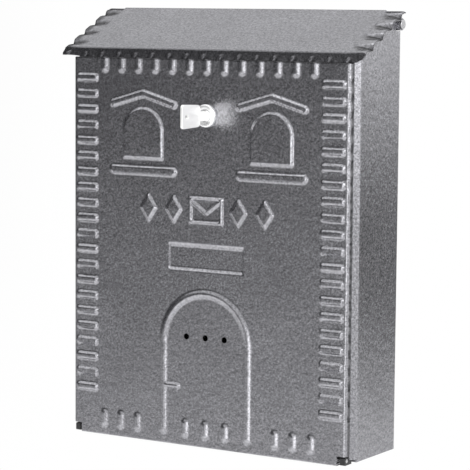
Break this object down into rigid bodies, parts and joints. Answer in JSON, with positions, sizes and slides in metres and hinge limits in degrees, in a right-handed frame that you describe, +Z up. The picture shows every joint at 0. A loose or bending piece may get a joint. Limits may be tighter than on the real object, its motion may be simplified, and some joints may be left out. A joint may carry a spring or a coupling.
{
  "type": "wall mounted mailbox",
  "caption": "Embossed sheet steel wall mailbox: sloping crimped lid lifts for letters, bottom hinged front door with ribs and house relief, cam lock with key.",
  "frame": {"origin": "middle of the four wall screw holes, on the outer face of the back panel", "axes": "+Z up, +X right seen from the front, -Y out of the wall towards the user; the wall is the plane y = 0"},
  "size_m": [0.272, 0.108, 0.3408],
  "materials": {
    "body_paint": "hammered pewter-grey powder coat",
    "lid_paint": "hammered pewter-grey powder coat",
    "door_paint": "hammered pewter-grey powder coat",
    "rod_steel": "zinc plated, dull",
    "pin_steel": "bright zinc plated",
    "black_plastic": "satin moulded",
    "lock_chrome": "polished chrome plate",
    "lock_steel": "zinc plated stamping",
    "wafer_brass": "plain brass",
    "key_nickel": "nickel plated, lightly scratched"
  },
  "bodies": {
    "case": {"case_wrap": "body_paint", "floor_pan": "body_paint", "top_rail": "body_paint", "lid_hinge_rod": "rod_steel", "hinge_block_left": "black_plastic", "hinge_block_right": "black_plastic", "hinge_pin_left": "pin_steel", "hinge_pin_right": "pin_steel", "hinge_block_rivets": "pin_steel"},
    "lid": {"lid": "lid_paint"},
    "door": {"door": "door_paint", "lock_housing": "lock_chrome", "lock_washer": "lock_steel", "lock_nut": "lock_steel"},
    "lock_rotor": {"lock_plug": "lock_chrome", "lock_wafers": "wafer_brass", "lock_cam": "lock_steel", "cam_washer": "lock_steel", "cam_screw": "lock_steel"},
    "key": {"key": "key_nickel"}
  },
  "joints": [
    {"name": "lid_hinge", "type": "hinge", "parent": "case", "child": "lid", "pos_m": [0, -0.0047, 0.169], "axis": [-1, 0, 0], "range_deg": [0, 40]},
    {"name": "door_hinge", "type": "hinge", "parent": "case", "child": "door", "pos_m": [0, -0.0688, -0.1562], "axis": [1, 0, 0], "range_deg": [0, 100]},
    {"name": "lock_turn", "type": "hinge", "parent": "door", "child": "lock_rotor", "pos_m": [0, -0.073, 0.0981], "axis": [0, 1, 0], "range_deg": [0, 90]},
    {"name": "key_slide", "type": "slide", "parent": "lock_rotor", "child": "key", "axis": [0, -1, 0], "range_m": [0, 0.03]}
  ]
}
